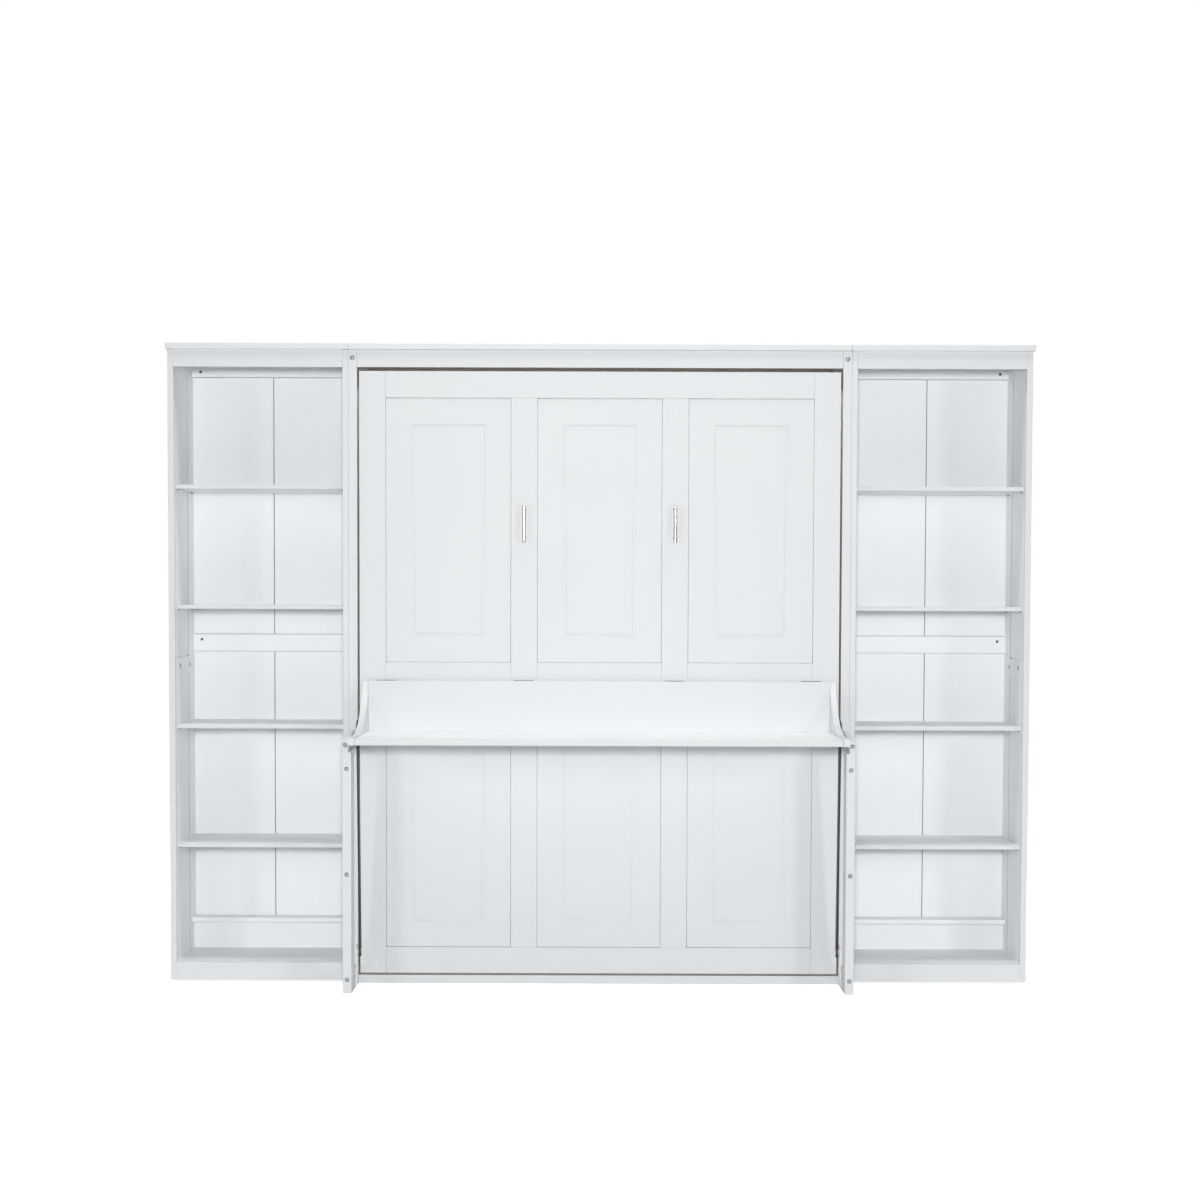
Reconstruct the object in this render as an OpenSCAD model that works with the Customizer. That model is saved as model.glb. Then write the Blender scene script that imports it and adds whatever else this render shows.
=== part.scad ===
// Wall bed with a desk on its front, between two open shelf units.
// The bed stands upright in the cabinet and folds down about a low pivot.
// Two link bars keep the desk level, and it ends up under the bed.
// Millimetres, +Z up, front towards -Y, origin on the floor under the middle.

/* [Cabinet] */
// Height from the floor to the top of the top boards
height = 2190; // [2100:5:2400]
// Clear width between the two cabinet sides
opening_w = 1654; // [1300:2:1900]
// Depth of the cabinet and of the shelf units
depth = 405; // [380:5:520]
// Thickness of a cabinet side
side_t = 30; // [24:1:40]
// Thickness of the top boards
top_t = 22; // [18:1:30]
// How far the top boards stand out at the front
top_front_lip = 8; // [0:1:20]
// How far the top boards stand out at the two ends
top_end_lip = 6.5; // [0:0.5:20]
// Height of the valance under the top boards
valance_h = 59; // [40:1:80]
// Thickness of the valances
valance_t = 20; // [16:1:25]
// Height of the sill across the foot of the cabinet
sill_h = 29; // [20:1:30]
// Thickness of the sill
sill_t = 22; // [16:1:30]
// Height of the rails across the back of the cabinet
back_rail_h = 90; // [60:5:140]
// Thickness of the rails across the back
back_rail_t = 18; // [15:1:25]

/* [Shelf units] */
// Outer width of one shelf unit
unit_w = 615; // [400:5:800]
// Thickness of a unit's sides
unit_side_t = 20; // [16:1:25]
// Gap under the units, filled by their glides
unit_lift = 10; // [6:1:20]
// Height of the kickboard
kick_h = 61; // [50:1:110]
// Thickness of the kickboard
kick_t = 16; // [12:1:20]
// Thickness of the unit floor
floor_t = 16; // [12:1:22]
// Thickness of a shelf
shelf_t = 14; // [12:1:22]
// How far the shelves stay behind the front edges
shelf_inset = 40; // [4:1:60]
// Height of the underside of the lowest shelf
shelf_first_z = 464; // [380:1:520]
// Rise from one shelf to the next
shelf_pitch = 411; // [340:1:420]
// Thickness of the back panels
back_t = 6; // [4:1:10]
// How far the back panels are let in from the rear edges
back_inset = 4; // [2:1:12]
// Width of the rails that carry the back panels
unit_rail_h = 60; // [45:1:90]
// Height of the middle back rail's underside
unit_rail_z = 1134; // [1080:2:1200]
// Height of the step in the lower back that clears a skirting board
step_z = 183; // [120:2:220]
// How far the lower back stands in front of the upper back
step_reach = 40; // [20:1:70]
// How far the board on top of the step stands out in front of it
step_nose = 35; // [0:1:60]
// Thickness of the board on top of the step
step_t = 16; // [12:1:22]
// Distance from the front to the rear stile of a unit's side
side_stile_y = 270; // [200:5:300]
// Height of the underside of the middle rail of a unit's side
side_rail_z = 1060; // [1020:2:1100]
// Height of the middle rail of a unit's side
side_rail_h = 58; // [40:1:80]

/* [Side frames] */
// How far the posts stand in front of the cabinet
frame_reach = 220; // [150:5:300]
// Depth of a post from front to back
post_d = 48; // [35:1:70]
// Height of the top of a post
post_top_z = 854; // [800:2:900]
// Height of an arm at the post
arm_h = 45; // [40:1:70]
// How far an arm rises on its way back to the cabinet
arm_rise = 23; // [0:1:40]
// Thickness of an arm
arm_t = 20; // [16:1:26]
// Height of a foot
foot_h = 67; // [50:1:90]
// Depth of the upright behind a post
upright_d = 30; // [26:1:40]
// Height of the bolt through a post into the foot
foot_bolt_z = 46; // [36:1:54]
// Height of the lower bolt into the upright
low_bolt_z = 400; // [300:5:500]
// Height of the upper bolt into the upright
high_bolt_z = 755; // [700:1:770]

/* [Bed] */
// Gap between the bed front and the cabinet sides
bed_gap = 7; // [5:0.5:12]
// Gap above the sill and below the bed front
bed_foot_gap = 7; // [6:0.2:14]
// Gap between the bed front and the valance
bed_head_gap = 13; // [12:1:30]
// Thickness of the bed front
front_t = 22; // [18:1:28]
// Width of the stiles and rails of the bed front
member_w = 90; // [70:1:120]
// Distance from the middle to the centre of an inner stile
inner_stile_x = 257.5; // [200:0.5:320]
// Height of the middle of the rail that carries the desk
desk_rail_z = 1061; // [1040:1:1090]
// How far the panels lie behind the face of the frame
panel_sink = 1.5; // [0.5:0.5:6]
// Distance from a panel's edge to its routed rectangle
route_inset = 90; // [50:1:110]
// Width of the routed groove
route_w = 10; // [5:1:16]
// Depth of the routed groove
route_d = 3; // [1:0.5:6]
// Depth of the side rails behind the bed front
rail_d = 100; // [80:5:130]
// Thickness of the side rails
rail_t = 30; // [22:1:35]
// Thickness of the head and foot boards of the bed
end_rail_t = 12; // [10:1:20]
// Depth from the bed front to the top of the slats
slat_top_y = 57; // [45:1:70]
// Thickness of a slat
slat_t = 15; // [12:1:20]
// Width of a slat
slat_w = 70; // [50:1:90]
// Number of slats
slat_count = 14; // [10:1:18]

/* [Pivot and struts] */
// Distance from the face of the bed back to the pivot
pivot_y = 60; // [50:1:70]
// Diameter of the pivot pins
pivot_pin_d = 16; // [12:1:20]
// Radial clearance of pins that turn
run_clear = 0.05; // [0.03:0.01:0.09]
// Height of the upper strut studs
strut_top_z = 900; // [850:5:1000]
// Distance of the upper strut studs behind the cabinet front
strut_top_y = 200; // [160:5:260]
// Distance of the lower strut studs behind the bed pivot
strut_low_back = 40; // [30:1:44]
// Distance of the lower strut studs below the bed pivot
strut_low_drop = 180; // [140:5:190]
// Diameter of a strut cylinder
cylinder_d = 22; // [18:1:24]
// Length from the upper stud to the end of the cylinder
cylinder_l = 500; // [440:5:520]
// Diameter of a strut rod
rod_d = 8; // [6:1:8]

/* [Desk] */
// How far the desk stands in front of the cabinet
desk_reach = 505; // [400:5:560]
// Height of the underside of the desk
desk_under_z = 851; // [820:1:870]
// Thickness of the desk top
desk_t = 19; // [16:1:28]
// Height of the hinge line
hinge_z = 1042; // [1000:1:1060]
// Thickness of the desk back and ends
desk_board_t = 20; // [16:1:25]
// Gap between a desk end and a side frame, where the link bars run
desk_end_gap = 19; // [18:1:30]
// Radius of the hollow front edge of a desk end
end_curve_r = 400; // [300:5:420]
// Distance from the cabinet front to the centre of that hollow
end_curve_y = 331; // [320:1:340]
// Height of a desk end's lip over the desk top
end_lip = 6; // [2:1:14]
// Height of the desk glides
glide_h = 8; // [5:1:12]
// Space left under the glides when the bed is down
glide_gap = 3; // [2:0.5:8]
// Length of a hinge
hinge_l = 68; // [50:1:90]
// Distance from the bed's edge to the middle of an outer hinge
hinge_edge = 95; // [70:1:110]
// Thickness of a hinge leaf
leaf_t = 2.5; // [2:0.1:3]
// Diameter of a hinge knuckle
knuckle_d = 6; // [5:0.1:6.4]

/* [Link bars] */
// Distance of the lower link pin in front of the cabinet
link_y = 56; // [50:1:70]
// Height of the lower link pin
link_z = 120; // [100:1:130]
// Width of a link bar
link_w = 36; // [28:1:40]
// Thickness of a link bar
link_t = 6; // [4:0.5:6]
// Diameter of the link pins
link_pin_d = 12; // [10:1:14]

/* [Handles] */
// Length of a handle bar
handle_l = 130; // [110:1:200]
// Diameter of a handle bar
handle_d = 12; // [8:1:16]
// Spacing of the handle posts
handle_hole_l = 96; // [64:32:160]
// How far a handle stands out
handle_reach = 32; // [24:1:45]
// Height of the middle of the handles
handle_z = 1579; // [1300:1:1700]

/* [Hidden] */
$fn = 48;
// Everything is laid out from the cabinet front, then moved so that the
// origin lies under the middle of the whole piece.
front_y = (desk_reach - depth) / 2;
cab_x = opening_w / 2;
cab_out_x = cab_x + side_t;
unit_out_x = cab_out_x + unit_w;
under_top_z = height - top_t;
valance_z = under_top_z - valance_h;
edge_r = 2;

unit_in_x = unit_w - 2 * unit_side_t;
unit_mid_x = cab_out_x + unit_w / 2;
floor_top_z = unit_lift + kick_h;
back_face_y = depth - back_inset - back_t;
top_rail_z = under_top_z - unit_rail_h;
step_face_y = back_face_y - step_reach;
wall_hole_d = 8;
wall_hole_in = 30;
glide_d = 18;
glide_ys = [80, depth - 30];
shelf_zs = [for (i = [0 : 3]) shelf_first_z + i * shelf_pitch];
groove_w = 5;
groove_d = 4;
side_bolt_ys = [105, 285];
side_bolt_in = 12;
side_head_t = 2;
wall_hole_edge = 18;
back_seam = 3;
board_gap = 0.1;
back_strip_w = 40;
pin_d = 5;
pin_l = 16;
pin_ys = [60, depth - 70];
cab_hole_xs = [127 - cab_x, -233, 233, cab_x - 127];

post_y = -frame_reach;
post_back_y = post_y + post_d;
arm_z = post_top_z - arm_h;
arm_x = cab_out_x - arm_t;
arm_mid_x = cab_out_x - arm_t / 2;
arm_bolt_z = arm_z + 26;
frame_mid_x = cab_x + side_t / 2;
post_bolt_zs = [foot_bolt_z, low_bolt_z, high_bolt_z];
side_bolt_z = under_top_z - 28;
side_bolt_l = 70;
bolt_head_d = 15;
bolt_head_t = 3;
bolt_dome_r = 12;
bolt_shank_d = 8;
socket_w = 6;
socket_deep = 2;
nut_d = 14;
nut_in = 16;
nut_reach = 8;
nut_slot_w = 2;
nut_slot_deep = 1.5;
shank_fit = 0.1;
// Hanger bolts hold the feet and arms to the cabinet sides.
tail_spots = [[frame_mid_x, foot_h / 2], [arm_mid_x, arm_bolt_z]];
tail_nut_in = 20;
tail_y0 = -tail_nut_in - nut_d / 2 - 2;
tail_y1 = 45;
frame_bolt_l = post_d + nut_in + nut_d / 2 + 2;

bed_x = cab_x - bed_gap;
bed_z0 = sill_h + bed_foot_gap;
bed_z1 = valance_z - bed_head_gap;
desk_rail_z0 = desk_rail_z - member_w / 2;
desk_rail_z1 = desk_rail_z + member_w / 2;
plate_t = 5;
strut_play = 0.5;
strut_gap = plate_t + cylinder_d + 5;
rail_x1 = cab_x - strut_gap;
rail_x0 = rail_x1 - rail_t;
rail_y0 = front_t;
rail_y1 = front_t + rail_d;
end_inset = 1.5;
ledger_w = 20;
slat_margin = 30;
panel_step = 4;
slat_y0 = slat_top_y;
centre_rail_w = 40;

// The desk keeps level, so the pivot height follows from its landing height.
hinge_y = -knuckle_d / 2 - 0.2;
desk_back_y = 2 * hinge_y;
desk_drop = hinge_z - desk_under_z;
pivot_z = glide_gap + glide_h + desk_drop + pivot_y - hinge_y;
desk_x = cab_x - desk_end_gap;
desk_in_x = desk_x - desk_board_t;
desk_top_z = desk_under_z + desk_t;
desk_board_z1 = hinge_z + 1.5;
desk_front_y = -desk_reach;
curve_z = desk_top_z + end_lip + end_curve_r;
lip_r = 8;
desk_glide_d = 20;
desk_glide_ys = [desk_front_y + 150, desk_back_y - 30];

// Every hinge has one leaf on the bed and one on the desk back.
knuckles = 5;
knuckle_l = hinge_l / knuckles;
knuckle_gap = 0.3;
leaf_h = 21;
leaf_top = -knuckle_d / 2 - 0.4;
hinge_pin_d = 3;
hinge_screw_d = 4.5;
hinge_screw_z = -leaf_h / 2 - 1.5;
hinge_xs = [hinge_edge - bed_x, -inner_stile_x, inner_stile_x, bed_x - hinge_edge];

// The two ends of a link bar stand as far apart as bed pivot and hinge line.
link_x0 = desk_x + 3.5;
link_x1 = link_x0 + link_t;
link_low = [-link_y, link_z];
link_high = [hinge_y - link_y - pivot_y, hinge_z + link_z - pivot_z];
link_lean = atan2(link_high[0] - link_low[0], link_high[1] - link_low[1]);
link_l = norm(link_high - link_low);
bracket_x0 = cab_x - 4.5;
bracket_w = 52;
bracket_z0 = 6;
bracket_r = 22;
bracket_hole_out = 18;
plate_hole_d = 7;
side_play = 0.3;
link_head_t = 3;
link_head_d = link_pin_d + 9;
link_bolt_in = 15;

plate_w = 110;
plate_fore = 35;
plate_r = 12;
plate_hole_in = 15;
bush_d = 30;
bush_flange_t = 3;
bush_flange_d = 50;
strut_x = cab_x - plate_t - strut_play - cylinder_d / 2;
eye_d = 24;
eye_t = 9;
stud_d = 8;
stud_base_d = 50;
stud_base_t = 4;
stud_head_t = 3;
low_stud_base_d = 38;
low_stud_base_t = 3;
strut_top = [strut_top_y, strut_top_z];
strut_low = [pivot_y + strut_low_back, pivot_z - strut_low_drop];
strut_l = norm(strut_low - strut_top);
strut_lean = atan2(strut_low[0] - strut_top[0], strut_top[1] - strut_low[1]);
cylinder_wall = 2;
gland_l = 20;
rod_hold = 40;
piston_t = 14;
piston_play = 0.6;
strut_neck = 22;
neck_d = 10;
neck_l = 20;
closed_l = 60;
handle_post_d = 9;
handle_rose_d = 15;
handle_rose_t = 2;
handle_ease = 1.5;

paint = "#EDEEEE";
paint_back = "#E1E6E9";
steel = "#9AA0A4";
dark_steel = "#3A3D40";
nickel = "#B9BCBE";
beech = "#D9BC8F";

// ---- Helpers ----

// Lays a piece out from the cabinet front.
module placed() translate([0, front_y, 0]) children();

// A right-hand piece as drawn, or its mirror image on the left.
module on_side(side) {
    if (side > 0) children();
    else mirror([1, 0, 0]) children();
}

// The same piece on both sides.
module both_sides() {
    on_side(1) children();
    on_side(-1) children();
}

// A board between two opposite corners.
module board(from, to) translate(from) cube(to - from);

// An outline drawn in the YZ plane, given its thickness from x0 to x1.
module side_plate(x0, x1)
    translate([x0, 0, 0]) rotate([90, 0, 90]) linear_extrude(x1 - x0) children();

// A rectangle whose four corners are arcs.
module soft_rect(from, to, r) {
    translate(from + [r, 0]) square(to - from - [2 * r, 0]);
    translate(from + [0, r]) square(to - from - [0, 2 * r]);
    for (x = [from[0] + r, to[0] - r], y = [from[1] + r, to[1] - r])
        translate([x, y]) circle(r);
}

// A round bar along X, Y or Z.
module bar_x(x0, x1, d) translate([x0, 0, 0]) rotate([0, 90, 0]) cylinder(h = x1 - x0, d = d);
module bar_y(y0, y1, d) translate([0, y0, 0]) rotate([-90, 0, 0]) cylinder(h = y1 - y0, d = d);

// A board that runs along X with eased front edges.
module long_board(x0, x1, y0, y1, z0, z1)
    side_plate(x0, x1) union() {
        soft_rect([y0, z0], [y1, z1], edge_r);
        translate([(y0 + y1) / 2, z0]) square([(y1 - y0) / 2, z1 - z0]);
    }

// ---- Shelf units ----

// A side of a unit, drawn with its inner face at x = 0 and its outer face
// at x = unit_side_t.  Shadow grooves mark the rear stile and middle rail.
module unit_side() difference() {
    translate([0, 0, unit_lift]) linear_extrude(under_top_z - unit_lift) union() {
        soft_rect([0, 0], [unit_side_t, depth], edge_r);
        translate([0, depth / 2]) square([unit_side_t, depth / 2]);
    }
    board([-1, side_stile_y, floor_top_z], [groove_d, side_stile_y + groove_w, side_rail_z]);
    board([-1, side_stile_y, side_rail_z + side_rail_h],
          [groove_d, side_stile_y + groove_w, top_rail_z]);
    board([-1, -1, side_rail_z + side_rail_h],
          [groove_d, side_stile_y + groove_w, side_rail_z + side_rail_h + groove_w]);
    for (y = side_bolt_ys)
        translate([0, y, side_rail_z + side_rail_h / 2]) bar_x(-1, side_bolt_in, bolt_shank_d);
}

module unit_outer_side(side) color(paint) on_side(side) placed()
    translate([unit_out_x - unit_side_t, 0, 0]) unit_side();

module unit_inner_side(side) color(paint) on_side(side) placed()
    translate([cab_out_x + unit_side_t, 0, 0]) mirror([1, 0, 0]) unit_side();

// Joining bolts in the middle rails, their heads on the inner faces.
module unit_side_bolts() color(steel) both_sides() placed()
    for (y = side_bolt_ys) {
        translate([unit_out_x - unit_side_t, y, side_rail_z + side_rail_h / 2]) side_bolt();
        translate([cab_out_x + unit_side_t, y, side_rail_z + side_rail_h / 2])
            mirror([1, 0, 0]) side_bolt();
    }

// A short bolt with a low round head and a hexagon socket.
module side_bolt() difference() {
    union() {
        bar_x(0, side_bolt_in, bolt_shank_d);
        bar_x(-side_head_t, 0, bolt_head_d);
    }
    translate([-side_head_t - 1, 0, 0]) rotate([0, 90, 0])
        cylinder(h = socket_deep + 1, d = socket_w, $fn = 6);
}

module unit_top(side) color(paint) on_side(side) placed()
    long_board(cab_out_x, unit_out_x + top_end_lip, -top_front_lip, depth,
               under_top_z, height);

module unit_valances() color(paint) both_sides() placed()
    board([cab_out_x + unit_side_t, 0, valance_z],
          [unit_out_x - unit_side_t, valance_t, under_top_z]);

module unit_kickboards() color(paint) both_sides() placed()
    board([cab_out_x + unit_side_t, 0, unit_lift],
          [unit_out_x - unit_side_t, kick_t, floor_top_z]);

module unit_floor(side) color(paint) on_side(side) placed()
    board([cab_out_x + unit_side_t, kick_t, floor_top_z - floor_t],
          [unit_out_x - unit_side_t, step_face_y, floor_top_z]);

module unit_shelves(side) color(paint) on_side(side) placed()
    for (z = shelf_zs)
        long_board(cab_out_x + unit_side_t, unit_out_x - unit_side_t,
                   shelf_inset, back_face_y, z, z + shelf_t);

// The upper back is two boards with a strip behind their seam.  The lower one
// stands forward of them to clear a skirting board, under a narrow step.
module unit_back(side) color(paint_back) on_side(side) placed() {
    for (x = [cab_out_x + unit_side_t, unit_mid_x + back_seam / 2])
        difference() {
            board([x, back_face_y, step_z + board_gap],
                  [x + (unit_in_x - back_seam) / 2, back_face_y + back_t, under_top_z]);
            wall_holes();
        }
    board([unit_mid_x - back_strip_w / 2, back_face_y + back_t + board_gap, step_z],
          [unit_mid_x + back_strip_w / 2, depth, under_top_z]);
    board([cab_out_x + unit_side_t, step_face_y - step_nose, step_z - step_t],
          [unit_out_x - unit_side_t, back_face_y + back_t, step_z]);
    board([cab_out_x + unit_side_t, step_face_y, unit_lift],
          [unit_out_x - unit_side_t, step_face_y + back_t, step_z - step_t - board_gap]);
}

// Screw holes near the four ends of the two back rails of a unit.
module wall_holes()
    for (x = [cab_out_x + unit_side_t + wall_hole_in, unit_out_x - unit_side_t - wall_hole_in],
         z = [unit_rail_z + unit_rail_h - wall_hole_edge, top_rail_z + wall_hole_edge])
        translate([x, 0, z])
            bar_y(back_face_y - back_rail_t - 1, back_face_y + back_t + 1, wall_hole_d);

module unit_back_rails(side) color(paint) on_side(side) placed()
    difference() {
        for (z = [unit_rail_z, top_rail_z])
            board([cab_out_x + unit_side_t, back_face_y - back_rail_t, z],
                  [unit_out_x - unit_side_t, back_face_y, z + unit_rail_h]);
        wall_holes();
    }

module unit_glides() color(dark_steel) both_sides() placed()
    for (x = [cab_out_x + unit_side_t / 2, unit_out_x - unit_side_t / 2],
         y = glide_ys)
        translate([x, y, 0]) cylinder(h = unit_lift, d = glide_d);

module shelf_pins() color(nickel) both_sides() placed()
    for (z = shelf_zs, y = pin_ys,
         x = [cab_out_x + unit_side_t, unit_out_x - unit_side_t - pin_l / 2])
        translate([x, y, z - pin_d / 2]) bar_x(0, pin_l / 2, pin_d);

// ---- Cabinet ----

module cabinet_side(side) color(paint) on_side(side) placed()
    difference() {
        linear_extrude(under_top_z) union() {
            soft_rect([cab_x, 0], [cab_out_x, depth], edge_r);
            translate([cab_x, depth / 2]) square([side_t, depth / 2]);
        }
        translate([frame_mid_x, 0, side_bolt_z])
            bar_y(-1, side_bolt_l + 1, bolt_shank_d + shank_fit);
        for (p = tail_spots) tail_way(p);
    }

module cabinet_top() color(paint) placed()
    long_board(-cab_out_x, cab_out_x, -top_front_lip, depth, under_top_z, height);

module cabinet_valance() color(paint) placed()
    board([-cab_x, 0, valance_z], [cab_x, valance_t, under_top_z]);

module cabinet_sill() color(paint) placed()
    board([-cab_x, 0, 0], [cab_x, sill_t, sill_h]);

module cabinet_back_rails() color(paint) placed()
    difference() {
        for (z = [unit_lift, under_top_z - back_rail_h])
            board([-cab_x, depth - back_rail_t, z], [cab_x, depth, z + back_rail_h]);
        for (x = cab_hole_xs, z = [unit_lift, under_top_z - back_rail_h])
            translate([x, 0, z + back_rail_h / 2])
                bar_y(depth - back_rail_t - 1, depth + 1, wall_hole_d);
    }

// ---- Side frames ----

// A post, cut back beside the arm so that the desk end passes it.
module frame_post(side) color(paint) on_side(side) placed()
    difference() {
        union() {
            linear_extrude(arm_z) soft_rect([cab_x, post_y], [cab_out_x, post_back_y], edge_r);
            linear_extrude(post_top_z)
                soft_rect([arm_x, post_y], [cab_out_x, post_back_y], edge_r);
        }
        for (z = post_bolt_zs)
            translate([frame_mid_x, 0, z]) post_bore();
        translate([arm_mid_x, 0, arm_bolt_z]) post_bore();
    }

module post_bore() bar_y(post_y - 1, post_back_y + 1, bolt_shank_d + shank_fit);

// An arm whose top rises from the post to the cabinet.
module frame_arm(side) color(paint) on_side(side) placed()
    difference() {
        side_plate(arm_x, cab_out_x)
            polygon([[post_back_y, arm_z], [0, arm_z], [0, post_top_z + arm_rise],
                     [post_back_y, post_top_z]]);
        bolt_way(arm_mid_x, arm_bolt_z);
        tail_way(tail_spots[1]);
    }

// The way of a front bolt and of its barrel nut, behind the post.
module bolt_way(x, z) translate([x, 0, z]) {
    bar_y(post_back_y - 1, post_y + frame_bolt_l + 1, bolt_shank_d + shank_fit);
    translate([0, post_back_y + nut_in, 0]) bar_x(-side_t, nut_reach, nut_d + shank_fit);
}

// The way of a hanger bolt and of its barrel nut, at the cabinet side.
module tail_way(spot) translate([spot[0], 0, spot[1]]) {
    bar_y(tail_y0 - 1, tail_y1 + 1, bolt_shank_d + shank_fit);
    translate([0, -tail_nut_in, 0]) bar_x(-side_t, nut_reach, nut_d + shank_fit);
}

module frame_foot(side) color(paint) on_side(side) placed()
    difference() {
        board([cab_x, post_back_y, 0], [cab_out_x, 0, foot_h]);
        bolt_way(frame_mid_x, foot_bolt_z);
        tail_way(tail_spots[0]);
    }

// Uprights behind the posts, from the feet to the arms.
module frame_uprights() color(paint) both_sides() placed()
    difference() {
        board([cab_x, post_back_y, foot_h], [cab_out_x, post_back_y + upright_d, arm_z]);
        for (z = [low_bolt_z, high_bolt_z]) bolt_way(frame_mid_x, z);
    }

// A bolt with a domed head and a hexagon socket, its head at y = 0.
module front_bolt(l) difference() {
    union() {
        bar_y(0, l, bolt_shank_d);
        intersection() {
            bar_y(-bolt_head_t, 0, bolt_head_d);
            translate([0, bolt_dome_r - bolt_head_t, 0]) sphere(r = bolt_dome_r, $fn = 64);
        }
    }
    translate([0, -bolt_head_t - 1, 0]) rotate([-90, 0, 0])
        cylinder(h = socket_deep + 1, d = socket_w, $fn = 6);
}

module frame_bolts() color(steel) both_sides() placed() {
    for (z = post_bolt_zs)
        translate([frame_mid_x, post_y, z]) front_bolt(frame_bolt_l);
    translate([arm_mid_x, post_y, arm_bolt_z]) front_bolt(frame_bolt_l);
    translate([frame_mid_x, 0, side_bolt_z]) front_bolt(side_bolt_l);
    for (p = tail_spots)
        translate([p[0], 0, p[1]]) bar_y(tail_y0, tail_y1, bolt_shank_d);
}

module barrel_nuts() color(steel) both_sides() placed() {
    translate([0, post_back_y + nut_in, 0]) {
        for (z = post_bolt_zs) translate([frame_mid_x, 0, z]) nut(-side_t / 2, nut_reach);
        translate([arm_mid_x, 0, arm_bolt_z]) nut(-arm_t / 2, nut_reach);
    }
    translate([0, -tail_nut_in, 0]) {
        translate([frame_mid_x, 0, tail_spots[0][1]]) nut(-side_t / 2, nut_reach);
        translate([arm_mid_x, 0, tail_spots[1][1]]) nut(-arm_t / 2, nut_reach);
    }
}

// A cross dowel with the bolt's hole through it and a screwdriver slot.
module nut(x0, x1) difference() {
    bar_x(x0, x1, nut_d);
    bar_y(-nut_d, nut_d, bolt_shank_d + shank_fit);
    board([x0 - 1, -nut_d, -nut_slot_w / 2], [x0 + nut_slot_deep, nut_d, nut_slot_w / 2]);
}

// ---- Fixed mechanism ----

// Pivot plates with their pins, and the upper studs of the gas struts.
module pivot_brackets() color(dark_steel) both_sides() placed() {
    difference() {
        side_plate(cab_x - plate_t, cab_x)
            soft_rect([pivot_y - plate_fore, pivot_z - plate_w / 2],
                      [pivot_y - plate_fore + plate_w, pivot_z + plate_w / 2], plate_r);
        for (y = [plate_hole_in, plate_w - plate_hole_in],
             z = [plate_hole_in - plate_w / 2, plate_w / 2 - plate_hole_in])
            translate([cab_x, pivot_y - plate_fore + y, pivot_z + z])
                bar_x(-plate_t - 1, 1, plate_hole_d);
    }
    translate([0, pivot_y, pivot_z]) bar_x(rail_x0 + 4, cab_x - plate_t, pivot_pin_d);
    translate([0, strut_top[0], strut_top[1]]) {
        bar_x(cab_x - stud_base_t, cab_x, stud_base_d);
        bar_x(strut_x - eye_t / 2 - 2, cab_x - stud_base_t, stud_d);
        bar_x(strut_x - eye_t / 2 - 2 - stud_head_t, strut_x - eye_t / 2 - 2, stud_d + 6);
    }
}

// Plates on the feet that carry the lower link pins.
module link_brackets() color(paint) both_sides() placed() {
    difference() {
        side_plate(bracket_x0, cab_x) union() {
            translate([-link_y - bracket_w / 2, bracket_z0])
                square([bracket_w, foot_h - 2 * bracket_z0]);
            translate([-link_y - bracket_r, bracket_z0])
                square([2 * bracket_r, link_z - bracket_z0]);
            translate([-link_y, link_z]) circle(bracket_r);
        }
        for (y = [-link_y - bracket_hole_out, -link_y + bracket_hole_out])
            translate([0, y, foot_h / 2]) bar_x(bracket_x0 - 1, cab_x + 1, plate_hole_d);
    }
    translate([0, link_low[0], link_low[1]]) {
        bar_x(link_x1 + side_play, bracket_x0, link_head_d);
        bar_x(link_x0 - side_play, link_x1 + side_play, link_pin_d);
        bar_x(link_x0 - side_play - link_head_t, link_x0 - side_play, link_head_d);
    }
}

// ---- Bed ----

module bed_stiles() color(paint) placed() {
    both_sides() {
        upright(bed_x - member_w, bed_x, bed_z0, bed_z1);
        upright(inner_stile_x - member_w / 2, inner_stile_x + member_w / 2,
                bed_z0 + member_w, desk_rail_z0);
        difference() {
            upright(inner_stile_x - member_w / 2, inner_stile_x + member_w / 2,
                    desk_rail_z1, bed_z1 - member_w);
            handle_holes(inner_stile_x);
        }
    }
}

// A stile of the bed front with eased face edges.
module upright(x0, x1, z0, z1)
    translate([0, 0, z0]) linear_extrude(z1 - z0) union() {
        soft_rect([x0, 0], [x1, front_t], 1);
        translate([x0, front_t / 2]) square([x1 - x0, front_t / 2]);
    }

module handle_holes(x)
    for (z = [handle_z - handle_hole_l / 2, handle_z + handle_hole_l / 2])
        translate([x, 0, z]) bar_y(-1, front_t + 1, 5);

module bed_cross_rails() color(paint) placed() {
    for (z = [bed_z0, desk_rail_z0, bed_z1 - member_w])
        side_plate(-bed_x + member_w, bed_x - member_w) union() {
            soft_rect([0, z], [front_t, z + member_w], 1);
            translate([front_t / 2, z]) square([front_t / 2, member_w]);
        }
}

// A panel with a rectangle routed into its face.
module routed_panel(x0, x1, z0, z1) difference() {
    board([x0, panel_sink, z0], [x1, front_t - panel_step, z1]);
    difference() {
        route_block(x0, x1, z0, z1, route_inset);
        route_block(x0, x1, z0, z1, route_inset + route_w);
    }
}

module route_block(x0, x1, z0, z1, inset)
    board([x0 + inset, -1, z0 + inset], [x1 - inset, panel_sink + route_d, z1 - inset]);

module bed_panels() color(paint) placed() {
    lows = [bed_z0 + member_w, desk_rail_z1];
    highs = [desk_rail_z0, bed_z1 - member_w];
    for (i = [0, 1]) {
        routed_panel(-inner_stile_x + member_w / 2, inner_stile_x - member_w / 2,
                     lows[i], highs[i]);
        both_sides() routed_panel(inner_stile_x + member_w / 2, bed_x - member_w,
                                  lows[i], highs[i]);
    }
}

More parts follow.
